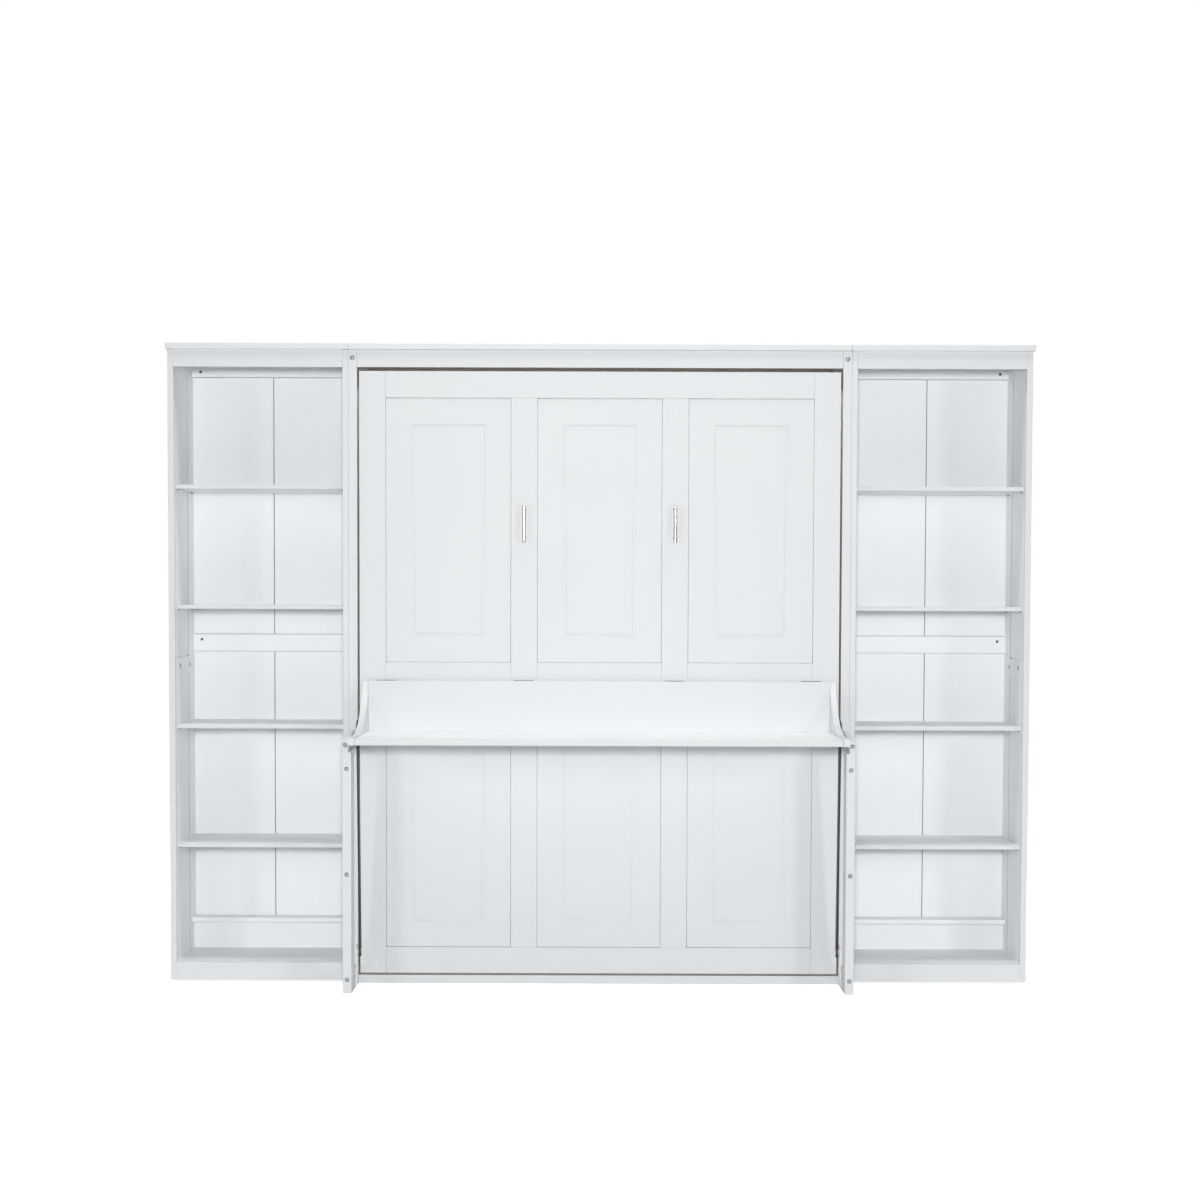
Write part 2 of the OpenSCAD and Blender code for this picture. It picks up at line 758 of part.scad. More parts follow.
// Side rails with a ledger for the slats and a bore for the pivot bush.
module bed_side_rails() color(beech) both_sides() placed() difference() {
    union() {
        board([rail_x0, rail_y0, bed_z0 + end_inset + end_rail_t],
              [rail_x1, rail_y1, bed_z1 - end_inset - end_rail_t]);
        board([rail_x0 - ledger_w, rail_y0, bed_z0 + end_inset + end_rail_t],
              [rail_x0, slat_y0, bed_z1 - end_inset - end_rail_t]);
    }
    translate([0, pivot_y, pivot_z])
        bar_x(rail_x0 - ledger_w - 1, rail_x1 + 1, bush_d + shank_fit);
}

module bed_end_rails() color(beech) placed() {
    for (z = [bed_z0 + end_inset, bed_z1 - end_inset - end_rail_t])
        board([-rail_x1, rail_y0, z], [rail_x1, rail_y1, z + end_rail_t]);
}

// A beam down the middle that carries the slats and stiffens the front.
module bed_centre_beam() color(beech) placed()
    board([-centre_rail_w / 2, rail_y0, bed_z0 + end_inset + end_rail_t],
          [centre_rail_w / 2, slat_y0, bed_z1 - end_inset - end_rail_t]);

module bed_slats() color(beech) placed() {
    z_low = bed_z0 + end_inset + end_rail_t + slat_margin;
    z_high = bed_z1 - end_inset - end_rail_t - slat_margin - slat_w;
    step = (z_high - z_low) / (slat_count - 1);
    for (i = [0 : slat_count - 1])
        board([-rail_x0, slat_y0, z_low + i * step],
              [rail_x0, slat_y0 + slat_t, z_low + i * step + slat_w]);
}

// Flanged bushes round the pivot pins, and the lower strut studs.
module bed_pivots() color(steel) both_sides() placed() {
    translate([0, pivot_y, pivot_z]) difference() {
        union() {
            bar_x(rail_x0, rail_x1, bush_d);
            bar_x(rail_x1, rail_x1 + bush_flange_t, bush_flange_d);
        }
        bar_x(rail_x0 - 1, rail_x1 + bush_flange_t + 1, pivot_pin_d + 2 * run_clear);
    }
    translate([0, strut_low[0], strut_low[1]]) {
        bar_x(rail_x1, rail_x1 + low_stud_base_t, low_stud_base_d);
        bar_x(rail_x1 + low_stud_base_t, strut_x - eye_t / 2 - 0.4, stud_d + 4);
    }
}

module handles() color(nickel) both_sides() placed()
    translate([inner_stile_x, 0, handle_z]) {
        translate([0, -handle_reach + handle_d / 2, -handle_l / 2])
            handle_bar();
        for (z = [-handle_hole_l / 2, handle_hole_l / 2])
            translate([0, 0, z]) {
                bar_y(-handle_reach + handle_d / 2 + 3, 0, handle_post_d);
                bar_y(-handle_rose_t, 0, handle_rose_d);
            }
    }

// A round bar with eased ends, turned as one profile.
module handle_bar() rotate_extrude() union() {
    square([handle_d / 2 - handle_ease, handle_l]);
    translate([0, handle_ease]) square([handle_d / 2, handle_l - 2 * handle_ease]);
    for (z = [handle_ease, handle_l - handle_ease])
        translate([handle_d / 2 - handle_ease, z]) circle(handle_ease);
}

// ---- Desk hinges ----

// One leaf with every second knuckle, starting at the given one.
module hinge_leaf(y0, first) difference() {
    union() {
        board([-hinge_l / 2, y0, -leaf_h], [hinge_l / 2, y0 + leaf_t, leaf_top]);
        for (k = [first : 2 : knuckles - 1])
            translate([-hinge_l / 2 + k * knuckle_l, 0, 0]) {
                bar_x(knuckle_gap / 2, knuckle_l - knuckle_gap / 2, knuckle_d);
                board([knuckle_gap / 2, y0, leaf_top],
                      [knuckle_l - knuckle_gap / 2, y0 + leaf_t, 0]);
            }
    }
    bar_x(-hinge_l / 2 - 1, hinge_l / 2 + 1,
          hinge_pin_d + (first == 1 ? 2 * run_clear : 0));
    for (x = [-hinge_l / 3, 0, hinge_l / 3])
        translate([x, y0, hinge_screw_z]) bar_y(-1, leaf_t + 1, hinge_screw_d);
}

module bed_hinge_leaves() color(steel) placed()
    for (x = hinge_xs)
        translate([x, hinge_y, hinge_z]) hinge_leaf(-hinge_y - leaf_t, 0);

module desk_hinge_leaves() color(steel) placed()
    for (x = hinge_xs)
        translate([x, hinge_y, hinge_z]) hinge_leaf(hinge_y, 1);

module desk_hinge_pins() color(steel) placed()
    for (x = hinge_xs)
        translate([x, hinge_y, hinge_z]) bar_x(-hinge_l / 2, hinge_l / 2, hinge_pin_d);

// ---- Gas struts ----

// Turns a strut that hangs straight down into its rest lean.
module strut_place(side) on_side(side) placed()
    translate([strut_x, strut_top[0], strut_top[1]]) rotate([strut_lean, 0, 0]) children();

module strut_cylinder(side) color(dark_steel) strut_place(side) difference() {
    union() {
        translate([0, 0, -cylinder_l]) cylinder(h = cylinder_l - strut_neck, d = cylinder_d);
        translate([0, 0, -strut_neck - 2]) cylinder(h = neck_l, d = neck_d);
        bar_x(-eye_t / 2, eye_t / 2, eye_d);
    }
    bar_x(-eye_t, eye_t, stud_d + 2 * run_clear);
    translate([0, 0, -cylinder_l + gland_l])
        cylinder(h = cylinder_l - gland_l - closed_l, d = cylinder_d - 2 * cylinder_wall);
    translate([0, 0, -cylinder_l - 1]) cylinder(h = gland_l + 2, d = rod_d + 2 * run_clear);
}

module strut_rod(side) color(nickel) strut_place(side) {
    difference() {
        union() {
            translate([0, 0, -strut_l]) cylinder(h = strut_l - cylinder_l + rod_hold, d = rod_d);
            translate([0, 0, -strut_l]) bar_x(-eye_t / 2, eye_t / 2, eye_d);
            translate([0, 0, -cylinder_l + rod_hold])
                cylinder(h = piston_t, d = cylinder_d - 2 * cylinder_wall - piston_play);
        }
        translate([0, 0, -strut_l]) bar_x(-eye_t, eye_t, stud_d);
    }
}

// ---- Desk ----

module desk_top() color(paint) placed()
    side_plate(-desk_in_x, desk_in_x) union() {
        soft_rect([desk_front_y, desk_under_z], [desk_back_y, desk_top_z], 3);
        translate([desk_front_y / 2, desk_under_z]) square([desk_back_y - desk_front_y / 2, desk_t]);
    }

module desk_back() color(paint) placed()
    side_plate(-desk_in_x, desk_in_x) union() {
        soft_rect([desk_back_y - desk_board_t, desk_top_z], [desk_back_y, desk_board_z1], 2);
        translate([desk_back_y - desk_board_t, desk_top_z]) square([desk_board_t, desk_t]);
    }

// A desk end: a low lip in front that sweeps up in a hollow curve.
module desk_end(side) color(paint) on_side(side) placed() difference() {
    side_plate(desk_in_x, desk_x) difference() {
        translate([desk_front_y, desk_under_z])
            square([desk_back_y - desk_front_y, desk_board_z1 - desk_under_z]);
        translate([-end_curve_y, curve_z]) circle(end_curve_r, $fn = 180);
        translate([desk_front_y - 1, desk_top_z + end_lip])
            square([desk_reach - end_curve_y + 1, desk_board_z1]);
        difference() {
            translate([desk_front_y - 1, desk_top_z + end_lip - lip_r])
                square([lip_r + 1, lip_r + 1]);
            translate([desk_front_y + lip_r, desk_top_z + end_lip - lip_r]) circle(lip_r);
        }
    }
    translate([0, link_high[0], link_high[1]])
        bar_x(desk_x - link_bolt_in, desk_x + 1, link_pin_d + shank_fit);
}

// Shouldered bolts on which the upper ends of the link bars turn.
module desk_link_bolts() color(steel) both_sides() placed()
    translate([0, link_high[0], link_high[1]]) {
        bar_x(desk_x - link_bolt_in, link_x1 + side_play, link_pin_d);
        bar_x(link_x1 + side_play, link_x1 + side_play + link_head_t, link_head_d);
        bar_x(desk_x, link_x0 - side_play, link_head_d);
    }

module desk_glides() color(dark_steel) both_sides() placed()
    for (y = desk_glide_ys)
        translate([(desk_in_x + desk_x) / 2, y, desk_under_z - glide_h])
            cylinder(h = glide_h, d = desk_glide_d);

// ---- Link bars ----

module link_bar(side) color(dark_steel) on_side(side) placed()
    translate([0, link_low[0], link_low[1]]) rotate([-link_lean, 0, 0])
        difference() {
            side_plate(link_x0, link_x1) union() {
                translate([-link_w / 2, 0]) square([link_w, link_l]);
                for (z = [0, link_l]) translate([0, z]) circle(link_w / 2);
            }
            for (z = [0, link_l])
                translate([0, 0, z]) bar_x(link_x0 - 1, link_x1 + 1, link_pin_d + 2 * run_clear);
        }

unit_outer_side(-1);  // left_unit_outer_side
unit_inner_side(-1);  // left_unit_inner_side
unit_top(-1);  // left_unit_top
unit_floor(-1);  // left_unit_floor
unit_shelves(-1);  // left_unit_shelves
unit_back(-1);  // left_unit_back
unit_back_rails(-1);  // left_unit_back_rails
unit_outer_side(1);  // right_unit_outer_side
unit_inner_side(1);  // right_unit_inner_side
unit_top(1);  // right_unit_top
unit_floor(1);  // right_unit_floor
unit_shelves(1);  // right_unit_shelves
unit_back(1);  // right_unit_back
unit_back_rails(1);  // right_unit_back_rails
unit_valances();
unit_kickboards();
unit_glides();
shelf_pins();
unit_side_bolts();
cabinet_side(-1);  // cabinet_side_left
cabinet_side(1);  // cabinet_side_right
cabinet_top();
cabinet_valance();
cabinet_sill();
cabinet_back_rails();
frame_post(-1);  // frame_post_left
frame_post(1);  // frame_post_right
frame_arm(-1);  // frame_arm_left
frame_arm(1);  // frame_arm_right
frame_foot(-1);  // frame_foot_left
frame_foot(1);  // frame_foot_right
frame_uprights();
frame_bolts();
barrel_nuts();
pivot_brackets();
link_brackets();
bed_stiles();
bed_cross_rails();
bed_panels();
bed_side_rails();
bed_end_rails();
bed_centre_beam();
bed_slats();
bed_pivots();
handles();
bed_hinge_leaves();
desk_hinge_pins();
strut_cylinder(-1);  // strut_cylinder_left
strut_cylinder(1);  // strut_cylinder_right
strut_rod(-1);  // strut_rod_left
strut_rod(1);  // strut_rod_right
desk_top();
desk_back();
desk_end(-1);  // desk_end_left
desk_end(1);  // desk_end_right
desk_hinge_leaves();
desk_link_bolts();
desk_glides();
link_bar(-1);  // link_bar_left
link_bar(1);  // link_bar_right
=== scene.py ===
import math
import bpy
import numpy as np
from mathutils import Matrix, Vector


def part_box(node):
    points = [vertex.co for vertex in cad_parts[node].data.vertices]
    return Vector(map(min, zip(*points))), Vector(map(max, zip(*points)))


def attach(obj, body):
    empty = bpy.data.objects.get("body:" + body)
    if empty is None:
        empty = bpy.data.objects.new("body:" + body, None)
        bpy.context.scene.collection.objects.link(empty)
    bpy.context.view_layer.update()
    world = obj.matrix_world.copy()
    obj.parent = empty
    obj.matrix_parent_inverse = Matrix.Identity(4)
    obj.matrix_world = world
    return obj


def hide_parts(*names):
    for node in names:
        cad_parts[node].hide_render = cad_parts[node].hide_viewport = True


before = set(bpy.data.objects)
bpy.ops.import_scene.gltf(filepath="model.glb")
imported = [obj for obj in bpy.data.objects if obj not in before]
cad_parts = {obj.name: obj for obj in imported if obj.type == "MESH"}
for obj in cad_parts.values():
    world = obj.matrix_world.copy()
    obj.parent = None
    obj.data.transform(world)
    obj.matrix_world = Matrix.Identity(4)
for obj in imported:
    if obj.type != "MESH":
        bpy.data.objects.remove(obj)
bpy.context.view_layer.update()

# ---------------------------------------------------------------------------
# Camera.  The photograph was taken from 8.2 m, at chest height and almost on
# the middle line, with a longish lens tipped down by three degrees.
# ---------------------------------------------------------------------------
cabinet_front = 0.050  # y of the cabinet's front edges, metres
camera_away = 8.2

lens_data = bpy.data.cameras.new("photo_camera")
lens_data.sensor_width = 36.0
lens_data.lens = 71.9
lens_data.shift_x = -0.0042
lens_data.shift_y = 0.1036
lens_data.clip_end = 200.0
photo_camera = bpy.data.objects.new("photo_camera", lens_data)
photo_camera.location = (0.019, cabinet_front - camera_away, 1.325)
photo_camera.rotation_euler = (math.radians(87.0), math.radians(-0.18), 0.0)
bpy.context.scene.collection.objects.link(photo_camera)
bpy.context.scene.camera = photo_camera
bpy.context.scene.view_settings.view_transform = "Standard"


# ---------------------------------------------------------------------------
# Studio.  A white sweep of painted floor under diffused lamps: a key lamp just
# above the camera, one on each side, a broad one overhead, one behind for the
# back, and a white surround.
# ---------------------------------------------------------------------------
def linear(code):
    """An sRGB hex colour as linear red, green, blue and alpha."""
    c = np.array([int(code[i:i + 2], 16) for i in (1, 3, 5)]) / 255.0
    c = np.where(c <= 0.04045, c / 12.92, ((c + 0.055) / 1.055) ** 2.4)
    return (*map(float, c), 1.0)


def add(tree, kind, settings=None, **links):
    """Adds a node, sets its properties and sockets, and links sockets to other nodes' outputs."""
    node = tree.nodes.new(kind)
    for name, value in (settings or {}).items():
        if name in node.inputs:
            node.inputs[name].default_value = value
        else:
            setattr(node, name, value)
    for name, output in links.items():
        tree.links.new(output, node.inputs[name.replace("_", " ")])
    return node


def finish_of(name):
    """A new material whose node tree is empty, and that tree."""
    material = bpy.data.materials.new(name)
    material.use_nodes = True
    material.node_tree.nodes.clear()
    return material, material.node_tree


# The camera sees the surround as pure white, and the object is lit by a dimmer
# and slightly cooler one.
surround = bpy.data.worlds.new("white_surround")
surround.use_nodes = True
tree = surround.node_tree
tree.nodes.clear()
seen = add(tree, "ShaderNodeLightPath").outputs["Is Camera Ray"]
soft = add(tree, "ShaderNodeBackground", {"Color": linear("#F4F7FA"), "Strength": 0.2})
white = add(tree, "ShaderNodeBackground", {"Color": (1, 1, 1, 1), "Strength": 1.0})
both = add(tree, "ShaderNodeMixShader", {}, Fac=seen)
tree.links.new(soft.outputs[0], both.inputs[1])
tree.links.new(white.outputs[0], both.inputs[2])
add(tree, "ShaderNodeOutputWorld", {}, Surface=both.outputs[0])
bpy.context.scene.world = surround

# Each lamp's name, place, width and height in metres, and power in watts.  All
# of them point at the middle of the cabinet.
lamps = (("lamp_overhead", (0.0, -0.45, 4.7), 4.0, 0.9, 90.0),
         ("lamp_by_camera", (0.0, -8.4, 1.72), 0.45, 0.45, 312.0),
         ("lamp_left", (-4.8, -5.9, 2.0), 0.8, 1.2, 56.0),
         ("lamp_right", (4.8, -5.9, 2.0), 0.8, 1.2, 68.0),
         ("lamp_behind", (0.0, 6.5, 4.0), 3.0, 3.0, 150.0))
lit_point = np.array((0.0, 0.0, 1.1))
for name, place, width, height, power in lamps:
    lamp = bpy.data.lights.new(name, "AREA")
    lamp.shape = "RECTANGLE"
    lamp.size = width
    lamp.size_y = height
    lamp.energy = power
    stand = bpy.data.objects.new(name, lamp)
    stand.location = place
    aim = lit_point - np.array(place)
    stand.rotation_euler = (math.atan2(math.hypot(aim[0], aim[1]), -aim[2]), 0.0,
                            math.atan2(aim[1], aim[0]) - math.pi / 2)
    bpy.context.scene.collection.objects.link(stand)

side_edge, front_edge, rear_edge = 30, -30, 60
floor_mesh = bpy.data.meshes.new("studio_floor")
floor_mesh.from_pydata([(-side_edge, front_edge, 0), (side_edge, front_edge, 0),
                        (side_edge, rear_edge, 0), (-side_edge, rear_edge, 0)], [], [(0, 1, 2, 3)])
studio_floor = bpy.data.objects.new("studio_floor", floor_mesh)
bpy.context.scene.collection.objects.link(studio_floor)

# Matt white emulsion paint, which shows no reflections.  It fades into the
# surround from 2.6 m to 7 m away.
material, tree = finish_of("white_floor_paint")
place = add(tree, "ShaderNodeTexCoord").outputs["Object"]
away = add(tree, "ShaderNodeVectorMath", {"operation": "LENGTH"}, Vector=place).outputs["Value"]
fade = add(tree, "ShaderNodeMapRange", {"From Min": 2.6, "From Max": 7.0}, Value=away)
shine = add(tree, "ShaderNodeBsdfPrincipled",
            {"Base Color": linear("#EDEDED"), "Roughness": 0.7, "Specular IOR Level": 0.1,
             "Emission Color": (1, 1, 1, 1)})
# A weak glow lifts it to the white of a lit sweep, except in the rectangle under
# the cabinet, where the greater of the two distances from its middle is under 1.
under_middle, under_half = (0.0, 0.255, 0.0), (0.84, 0.19, 1.0)
under = add(tree, "ShaderNodeMapping",
            {"vector_type": "TEXTURE", "Location": under_middle, "Scale": under_half}, Vector=place)
under = add(tree, "ShaderNodeVectorMath", {"operation": "ABSOLUTE"}, Vector=under.outputs["Vector"])
under = add(tree, "ShaderNodeSeparateColor", {}, Color=under.outputs["Vector"])
edge = add(tree, "ShaderNodeMath", {"operation": "MAXIMUM"})
tree.links.new(under.outputs["Red"], edge.inputs[0])
tree.links.new(under.outputs["Green"], edge.inputs[1])
seen = add(tree, "ShaderNodeLightPath").outputs["Is Camera Ray"]
glow = add(tree, "ShaderNodeMapRange", {"To Min": 0.1, "To Max": 0.75}, Value=seen)
glow = add(tree, "ShaderNodeMapRange", {"From Min": 1.0, "From Max": 1.02},
           Value=edge.outputs[0], To_Max=glow.outputs["Result"])
tree.links.new(glow.outputs["Result"], shine.inputs["Emission Strength"])
clear = add(tree, "ShaderNodeBsdfTransparent")
blend = add(tree, "ShaderNodeMixShader", {}, Fac=fade.outputs["Result"])
tree.links.new(shine.outputs[0], blend.inputs[1])
tree.links.new(clear.outputs[0], blend.inputs[2])
add(tree, "ShaderNodeOutputMaterial", {}, Surface=blend.outputs[0])
floor_mesh.materials.append(material)


# ---------------------------------------------------------------------------
# Cabinet.  Two 30 mm sides, a top board, a valance and a sill, of pine and
# MDF boards, sanded, eased along every edge, and sprayed with white satin
# lacquer.  They are glued and screwed together from behind.
# ---------------------------------------------------------------------------
def eased_board(low, high, r, n=3):
    """A board with quarter-round edges, in metres.  Its surface is a function of the angles (a, b)
    of a direction: the nearest corner of the box shrunk by r on all sides, plus r times the
    direction."""
    low, high = np.array(low, float), np.array(high, float)
    middle, half = (low + high) / 2, (high - low) / 2 - r
    quarter = np.repeat(np.arange(4), n + 1)
    a = (quarter + np.tile(np.linspace(0, 1, n + 1), 4)) * math.pi / 2
    b = np.concatenate([np.linspace(-1, 0, n + 1)[1:], np.linspace(0, 1, n + 1)[:-1]]) * math.pi / 2
    side = np.array([(1, 1), (-1, 1), (-1, -1), (1, -1)], float)
    up = np.repeat([-1.0, 1.0], n)
    way = np.stack([np.cos(b)[:, None] * np.cos(a), np.cos(b)[:, None] * np.sin(a),
                    np.repeat(np.sin(b)[:, None], len(a), 1)], -1)
    corner = np.concatenate([np.broadcast_to(side[quarter], (len(b), len(a), 2)),
                             np.broadcast_to(up[:, None, None], (len(b), len(a), 1))], -1)
    points = (middle + half * corner + r * way).reshape(-1, 3)
    poles = np.array([(*side[q], s) for s in (-1, 1) for q in range(4)])
    pole_ways = np.array([(0, 0, s) for s in (-1, 1) for q in range(4)], float)
    points = np.concatenate([points, middle + half * poles + r * pole_ways])
    ways = np.concatenate([way.reshape(-1, 3), pole_ways])
    rows, cols = len(b), len(a)
    i, j = np.meshgrid(np.arange(rows - 1), np.arange(cols), indexing="ij")
    j2 = (j + 1) % cols
    faces = np.stack([i * cols + j, i * cols + j2, (i + 1) * cols + j2, (i + 1) * cols + j], -1)
    faces = faces.reshape(-1, 4).tolist()
    last, base = (rows - 1) * cols, rows * cols
    for q in range(4):
        q2 = (q + 1) % 4
        k, k2 = q * (n + 1), q2 * (n + 1)
        for m in range(n):
            faces.append((base + q, k + m + 1, k + m))
            faces.append((base + 4 + q, last + k + m, last + k + m + 1))
        faces.append((base + q, base + q2, k2, k + n))
        faces.append((base + 4 + q2, base + 4 + q, last + k + n, last + k2))
    faces.append((base + 3, base + 2, base + 1, base))
    faces.append((base + 4, base + 5, base + 6, base + 7))
    return points, faces, ways


def made(name, body, parts, finish, nodes=(), more=()):
    """One piece from several (points, faces, normals) surfaces, riding on a body and standing for
    nodes.  More holds pairs of further surfaces and their own finish."""
    groups = [(parts, finish), *more]
    points, faces, ways, finishes, start = [], [], [], [], 0
    for number, (surfaces, _) in enumerate(groups):
        for p, f, w in surfaces:
            points.append(p)
            ways.append(w)
            faces += [tuple(v + start for v in face) for face in f]
            finishes += [number] * len(f)
            start += len(p)
    mesh = bpy.data.meshes.new(name)
    mesh.from_pydata(np.concatenate(points).tolist(), [], faces)
    for _, each in groups:
        mesh.materials.append(each)
    mesh.polygons.foreach_set("material_index", np.array(finishes, np.int32))
    mesh.polygons.foreach_set("use_smooth", np.ones(len(mesh.polygons), bool))
    mesh.normals_split_custom_set_from_vertices(np.concatenate(ways).tolist())
    piece = bpy.data.objects.new(name, mesh)
    bpy.context.scene.collection.objects.link(piece)
    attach(piece, body)
    if nodes:
        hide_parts(*nodes)
    return piece


def cad_board(node, r=0.0015):
    """The eased board that fills a CAD node's box."""
    low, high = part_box(node)
    return eased_board(low, high, r)


# A Mix node's two colour inputs and its colour output.
colour_a, colour_b, mixed = 6, 7, 2


# Satin polyurethane lacquer, sprayed: an even neutral white with a soft sheen
# and a stipple of about a millimetre, drawn 3 mm coarse so that it shows.
def lacquer(name, low, high):
    """The lacquer between two near whites, which drift over a third of a metre."""
    material, tree = finish_of(name)
    place = add(tree, "ShaderNodeTexCoord").outputs["Object"]
    stipple = add(tree, "ShaderNodeTexNoise", {"Scale": 330.0, "Detail": 2.0}, Vector=place)
    stipple = stipple.outputs["Fac"]
    cloud = add(tree, "ShaderNodeTexNoise", {"Scale": 3.0, "Detail": 3.0}, Vector=place)
    tint = add(tree, "ShaderNodeMix", {"data_type": "RGBA"}, Factor=cloud.outputs["Fac"])
    tint.inputs[colour_a].default_value = linear(low)
    tint.inputs[colour_b].default_value = linear(high)
    sheen = add(tree, "ShaderNodeMapRange", {"To Min": 0.38, "To Max": 0.50}, Value=stipple)
    bump = add(tree, "ShaderNodeBump", {"Strength": 0.06, "Distance": 0.0004}, Height=stipple)
    shine = add(tree, "ShaderNodeBsdfPrincipled", {"IOR": 1.48, "Specular IOR Level": 0.35},
                Base_Color=tint.outputs[mixed], Roughness=sheen.outputs["Result"],
                Normal=bump.outputs["Normal"])
    add(tree, "ShaderNodeOutputMaterial", {}, Surface=shine.outputs[0])
    return material


# The darker of two copies of the lacquer, which differ only as painted light: it goes on the
# fronts, frames and lippings, and the lighter copy on the boards inside the units and the desk top.
white_lacquer = lacquer("white_satin_lacquer", "#D8DADC", "#DCDEDF")

top_ease = 0.003  # the tops' edges are rounded further than the other boards'
cabinet_nodes = ["cabinet_side_left", "cabinet_side_right", "cabinet_valance", "cabinet_sill"]
made("cabinet_boards", "cabinet", [cad_board(n) for n in cabinet_nodes], white_lacquer,
     cabinet_nodes)
made("cabinet_top_board", "cabinet", [cad_board("cabinet_top", top_ease)], white_lacquer,
     ["cabinet_top"])


def coat(finish, *nodes):
    """Gives CAD nodes whose shape is right their finish."""
    for n in nodes:
        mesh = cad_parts[n].data
        mesh.materials.clear()
        mesh.materials.append(finish)


coat(white_lacquer, "cabinet_back_rails")

# ---------------------------------------------------------------------------
# Shelf units.  Sides, tops, floors, shelves, valances and kickboards are
# lacquered boards too, lipped with wood along their front edges.  A cutter's
# line marks off the rear stile and the middle rail on each side's inner face;
# the upright line is filled with a brown strip, which is painted shade.
# ---------------------------------------------------------------------------
# The same lacquer drawn a shade lighter: painted light on the boards inside the
# units and on the desk top, which the lamps light less than the fronts.
lightened_lacquer = lacquer("white_lacquer_painted_lighter", "#F1F2F3", "#F4F5F5")

# Raw hardboard on the backs' rear: mid brown pressed fibre, its flecks drawn 2 mm
# long so that they show.  The same brown is painted shade where it fills the
# cutter's lines, the backs' partings and seam, the joint under the ledge and the
# wall holes.
hardboard_and_shade, tree = finish_of("raw_hardboard_and_painted_shade")
place = add(tree, "ShaderNodeTexCoord").outputs["Object"]
fibre = add(tree, "ShaderNodeTexNoise", {"Scale": 450.0, "Detail": 3.0}, Vector=place)
tint = add(tree, "ShaderNodeMix", {"data_type": "RGBA"}, Factor=fibre.outputs["Fac"])
tint.inputs[colour_a].default_value = linear("#5C4A3B")
tint.inputs[colour_b].default_value = linear("#77624E")
shine = add(tree, "ShaderNodeBsdfPrincipled", {"Roughness": 0.8}, Base_Color=tint.outputs[mixed])
add(tree, "ShaderNodeOutputMaterial", {}, Surface=shine.outputs[0])


def slab(x0, x1, y0, y1, z0, z1, r=0.0004):
    """An eased board between two x, y and z, the y counted from the cabinet's front, in metres."""
    return eased_board((min(x0, x1), cabinet_front + y0, z0),
                       (max(x0, x1), cabinet_front + y1, z1), r)


# In metres: the depth of the sides' lipping, where the rear stile starts behind
# the cabinet's front, and the heights of the middle rail.
side_lip, stile, rail_low, rail_top = 0.028, 0.270, 1.060, 1.118
# The cutter's upright line is filled from floor to valance with a brown strip,
# painted shade, and its level line is white.  The strip lies a hundredth of a
# side's thickness behind the face and reaches a millimetre under the facing,
# which is a fifth of a side thick.
upright_cut, level_cut, tuck, shade_strip_foot, shade_strip_head = 0.0055, 0.004, 0.001, 0.075, 2.108
facing_share, shade_strip_share = 0.2, 0.01
# The shelves: depth of their lipping, thickness, and the underside of each.
shelf_lip, shelf_t, shelf_levels = 0.016, 0.014, [0.464 + 0.411 * i for i in range(4)]

for side in ("left", "right"):
    made(side + "_unit_top_board", "cabinet", [cad_board(side + "_unit_top", top_ease)],
         white_lacquer, [side + "_unit_top"])
    coat(lightened_lacquer, side + "_unit_floor")
    for which in ("outer", "inner"):
        low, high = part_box(f"{side}_unit_{which}_side")
        faces_right = (side == "left") == (which == "outer")
        face, rear = (high[0], low[0]) if faces_right else (low[0], high[0])
        core, line = face + (rear - face) * facing_share, face + (rear - face) * shade_strip_share
        end = high[1] - cabinet_front
        boards = [slab(core, rear, side_lip, end, low[2], high[2]),
                  slab(face, core, side_lip, stile, low[2], rail_low),
                  slab(face, core, side_lip, stile + upright_cut, rail_low, rail_top),
                  slab(face, core, side_lip, stile, rail_top + level_cut, high[2]),
                  slab(face, core, stile + upright_cut, end, low[2], high[2])]
        # Brown strips in the upright line: painted shade.
        bare_and_shade = [slab(line, core, stile - tuck, stile + upright_cut + tuck, z0, z1)
                for z0, z1 in ((shade_strip_foot, rail_low), (rail_top, shade_strip_head))]
        lipping = [slab(face, rear, 0.0, side_lip, low[2], high[2], 0.002)]
        made(f"{side}_unit_{which}_panel", "cabinet", boards, lightened_lacquer,
             [f"{side}_unit_{which}_side"], more=[(bare_and_shade, hardboard_and_shade), (lipping, white_lacquer)])
    low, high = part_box(side + "_unit_shelves")
    front, end = low[1] - cabinet_front, high[1] - cabinet_front
    boards = [slab(low[0], high[0], front + shelf_lip, end, z, z + shelf_t, 0.0008)
              for z in shelf_levels]
    lipping = [slab(low[0], high[0], front, front + shelf_lip, z, z + shelf_t, 0.0015)
               for z in shelf_levels]
    made(side + "_unit_shelf_boards", "cabinet", boards, lightened_lacquer, [side + "_unit_shelves"],
         more=[(lipping, white_lacquer)])
coat(white_lacquer, "unit_valances", "unit_kickboards")

# Backs.  Thin hardboard faced with foil, pinned on behind the rails: tall boards
# parted down the middle and at the rails, over a bare rear layer and a strip
# behind the seam, and a low board that stands forward under a narrow ledge.  The
# brown of the rear layer and strip in the partings, of a strip in the joint under
# the ledge and of a disc in each wall hole is painted shade.
#
# Pale grey foil: a little bluer than the lacquer, with a mottle 25 mm wide.
grey_foil, tree = finish_of("pale_grey_foil")
place = add(tree, "ShaderNodeTexCoord").outputs["Object"]
mottle = add(tree, "ShaderNodeTexNoise", {"Scale": 40.0, "Detail": 4.0}, Vector=place)
mottle = mottle.outputs["Fac"]
tint = add(tree, "ShaderNodeMix", {"data_type": "RGBA"}, Factor=mottle)
tint.inputs[colour_a].default_value = linear("#F0F4F6")
tint.inputs[colour_b].default_value = linear("#F5F7F9")
sheen = add(tree, "ShaderNodeMapRange", {"To Min": 0.45, "To Max": 0.6}, Value=mottle)
